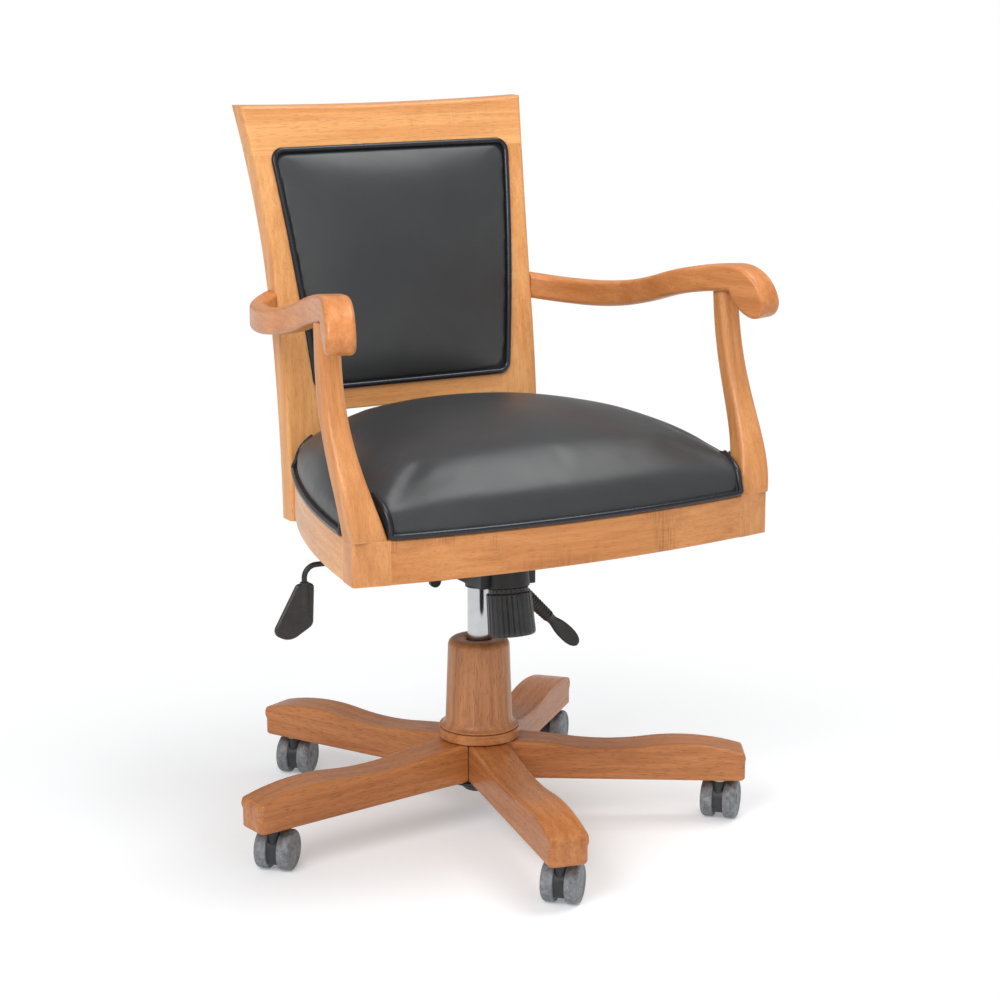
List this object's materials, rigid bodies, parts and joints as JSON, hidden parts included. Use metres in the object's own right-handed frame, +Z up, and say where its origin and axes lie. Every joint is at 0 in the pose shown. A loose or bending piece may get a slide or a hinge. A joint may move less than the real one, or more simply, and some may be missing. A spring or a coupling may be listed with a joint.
{
  "type": "office chair",
  "caption": "Wooden swivel office chair with padded leather seat and back, scrolled open arms, gas lift, tilt mechanism and twin-wheel casters on a spoked wooden base.",
  "frame": {"origin": "on the floor, on the axis of the gas column", "axes": "+Z up, the sitter faces -Y, +X is the sitter's left hand side as drawn to the right when seen from the front"},
  "size_m": [0.6403, 0.6456, 0.886],
  "materials": {
    "frame_wood": "satin lacquer over honey-coloured wood with open grain",
    "base_wood": "satin lacquer over redder wood",
    "brace_wood": "raw sawn wood and plywood",
    "seat_leather": "charcoal leather, fine grain, soft sheen",
    "piping": "near-black leather welt",
    "steel": "plain steel",
    "bright_tube": "ground and chromed tube",
    "black_metal": "black paint",
    "brass_valve": "plain",
    "black_plastic": "black moulded plastic",
    "hood_plastic": "dark moulded plastic",
    "wheel_grey": "mottled grey tread",
    "zinc": "zinc plated"
  },
  "bodies": {
    "base": {"bell_cover": "base_wood", "hub_ring": "base_wood", "hub_plate": "steel", "spoke_1": "base_wood", "spoke_2": "base_wood", "spoke_3": "base_wood", "spoke_4": "base_wood", "spoke_5": "base_wood", "column_tube": "black_metal", "stem_sockets": "steel"},
    "column_rod": {"piston_rod": "steel"},
    "lift": {"lift_tube": "bright_tube", "tilt_housing": "black_metal", "tilt_axle": "steel"},
    "valve": {"valve_pin": "brass_valve"},
    "height_handle": {"height_lever_rod": "black_metal", "height_lever_paddle": "black_plastic"},
    "lock_handle": {"lock_lever": "black_plastic"},
    "knob": {"tension_knob": "black_plastic"},
    "seat": {"seat_plate": "black_metal", "frame_braces": "brace_wood", "front_rail": "frame_wood", "left_side_rail": "frame_wood", "right_side_rail": "frame_wood", "rear_rail": "frame_wood", "seat_board": "brace_wood", "seat_cushion": "seat_leather", "seat_piping": "piping", "left_arm_post": "frame_wood", "right_arm_post": "frame_wood", "left_arm": "frame_wood", "right_arm": "frame_wood", "left_stile": "frame_wood", "right_stile": "frame_wood", "crest_rail": "frame_wood", "lower_back_rail": "frame_wood", "back_panel": "brace_wood", "back_pad": "seat_leather", "back_piping": "piping", "rear_pad": "seat_leather"},
    "caster_1": {"caster_1_hood": "hood_plastic", "caster_1_pins": "zinc"},
    "caster_1_left": {"caster_1_wheel_left": "wheel_grey"},
    "caster_1_right": {"caster_1_wheel_right": "wheel_grey"},
    "caster_2": {"caster_2_hood": "hood_plastic", "caster_2_pins": "zinc"},
    "caster_2_left": {"caster_2_wheel_left": "wheel_grey"},
    "caster_2_right": {"caster_2_wheel_right": "wheel_grey"},
    "caster_3": {"caster_3_hood": "hood_plastic", "caster_3_pins": "zinc"},
    "caster_3_left": {"caster_3_wheel_left": "wheel_grey"},
    "caster_3_right": {"caster_3_wheel_right": "wheel_grey"},
    "caster_4": {"caster_4_hood": "hood_plastic", "caster_4_pins": "zinc"},
    "caster_4_left": {"caster_4_wheel_left": "wheel_grey"},
    "caster_4_right": {"caster_4_wheel_right": "wheel_grey"},
    "caster_5": {"caster_5_hood": "hood_plastic", "caster_5_pins": "zinc"},
    "caster_5_left": {"caster_5_wheel_left": "wheel_grey"},
    "caster_5_right": {"caster_5_wheel_right": "wheel_grey"}
  },
  "joints": [
    {"name": "caster_1_swivel", "type": "hinge", "parent": "base", "child": "caster_1", "pos_m": [0.26638, -0.14439, 0.053], "axis": [0, 0, 1], "continuous": true},
    {"name": "caster_1_left_spin", "type": "hinge", "parent": "caster_1", "child": "caster_1_left", "pos_m": [0.27419, -0.13664, 0.025], "axis": [-0.7046, 0.7096, 0], "continuous": true},
    {"name": "caster_1_right_spin", "type": "hinge", "parent": "caster_1", "child": "caster_1_right", "pos_m": [0.27419, -0.13664, 0.025], "axis": [-0.7046, 0.7096, 0], "continuous": true},
    {"name": "caster_2_swivel", "type": "hinge", "parent": "base", "child": "caster_2", "pos_m": [0.21964, 0.20872, 0.053], "axis": [0, 0, 1], "continuous": true},
    {"name": "caster_2_left_spin", "type": "hinge", "parent": "caster_2", "child": "caster_2_left", "pos_m": [0.22745, 0.21648, 0.025], "axis": [-0.7046, 0.7096, 0], "continuous": true},
    {"name": "caster_2_right_spin", "type": "hinge", "parent": "caster_2", "child": "caster_2_right", "pos_m": [0.22745, 0.21648, 0.025], "axis": [-0.7046, 0.7096, 0], "continuous": true},
    {"name": "caster_3_swivel", "type": "hinge", "parent": "base", "child": "caster_3", "pos_m": [-0.13064, 0.27339, 0.053], "axis": [0, 0, 1], "continuous": true},
    {"name": "caster_3_left_spin", "type": "hinge", "parent": "caster_3", "child": "caster_3_left", "pos_m": [-0.12283, 0.28114, 0.025], "axis": [-0.7046, 0.7096, 0], "continuous": true},
    {"name": "caster_3_right_spin", "type": "hinge", "parent": "caster_3", "child": "caster_3_right", "pos_m": [-0.12283, 0.28114, 0.025], "axis": [-0.7046, 0.7096, 0], "continuous": true},
    {"name": "caster_4_swivel", "type": "hinge", "parent": "base", "child": "caster_4", "pos_m": [-0.30038, -0.03976, 0.053], "axis": [0, 0, 1], "continuous": true},
    {"name": "caster_4_left_spin", "type": "hinge", "parent": "caster_4", "child": "caster_4_left", "pos_m": [-0.29257, -0.03201, 0.025], "axis": [-0.7046, 0.7096, 0], "continuous": true},
    {"name": "caster_4_right_spin", "type": "hinge", "parent": "caster_4", "child": "caster_4_right", "pos_m": [-0.29257, -0.03201, 0.025], "axis": [-0.7046, 0.7096, 0], "continuous": true},
    {"name": "caster_5_swivel", "type": "hinge", "parent": "base", "child": "caster_5", "pos_m": [-0.05501, -0.29796, 0.053], "axis": [0, 0, 1], "continuous": true},
    {"name": "caster_5_left_spin", "type": "hinge", "parent": "caster_5", "child": "caster_5_left", "pos_m": [-0.0472, -0.29021, 0.025], "axis": [-0.7046, 0.7096, 0], "continuous": true},
    {"name": "caster_5_right_spin", "type": "hinge", "parent": "caster_5", "child": "caster_5_right", "pos_m": [-0.0472, -0.29021, 0.025], "axis": [-0.7046, 0.7096, 0], "continuous": true},
    {"name": "column_swivel", "type": "hinge", "parent": "base", "child": "column_rod", "pos_m": [0, 0, 0.053], "axis": [0, 0, 1], "continuous": true},
    {"name": "gas_lift", "type": "slide", "parent": "column_rod", "child": "lift", "axis": [0, 0, 1], "range_m": [-0.045, 0.055]},
    {"name": "height_lever", "type": "hinge", "parent": "lift", "child": "height_handle", "pos_m": [-0.027, 0, 0.36], "axis": [0, 1, 0], "range_deg": [0, 6], "stiffness_Nm_per_rad": 2, "springref_deg": -17.19},
    {"name": "valve_press", "type": "slide", "parent": "lift", "child": "valve", "axis": [0, 0, -1], "range_m": [0, 0.003]},
    {"name": "lock_turn", "type": "hinge", "parent": "lift", "child": "lock_handle", "pos_m": [0.038, 0, 0.336], "axis": [1, 0, 0], "range_deg": [0, 30]},
    {"name": "knob_turn", "type": "hinge", "parent": "lift", "child": "knob", "pos_m": [0, -0.075, 0.322], "axis": [0, 0.1736, 0.9848], "range_deg": [-720, 720]},
    {"name": "seat_tilt", "type": "hinge", "parent": "lift", "child": "seat", "pos_m": [0, 0.026, 0.364], "axis": [-1, 0, 0], "range_deg": [0, 12], "stiffness_Nm_per_rad": 80, "springref_deg": -28.65}
  ],
  "couplings": [
    {"joint": "valve_press", "follows": "height_lever", "m_per_rad": 0.027}
  ]
}
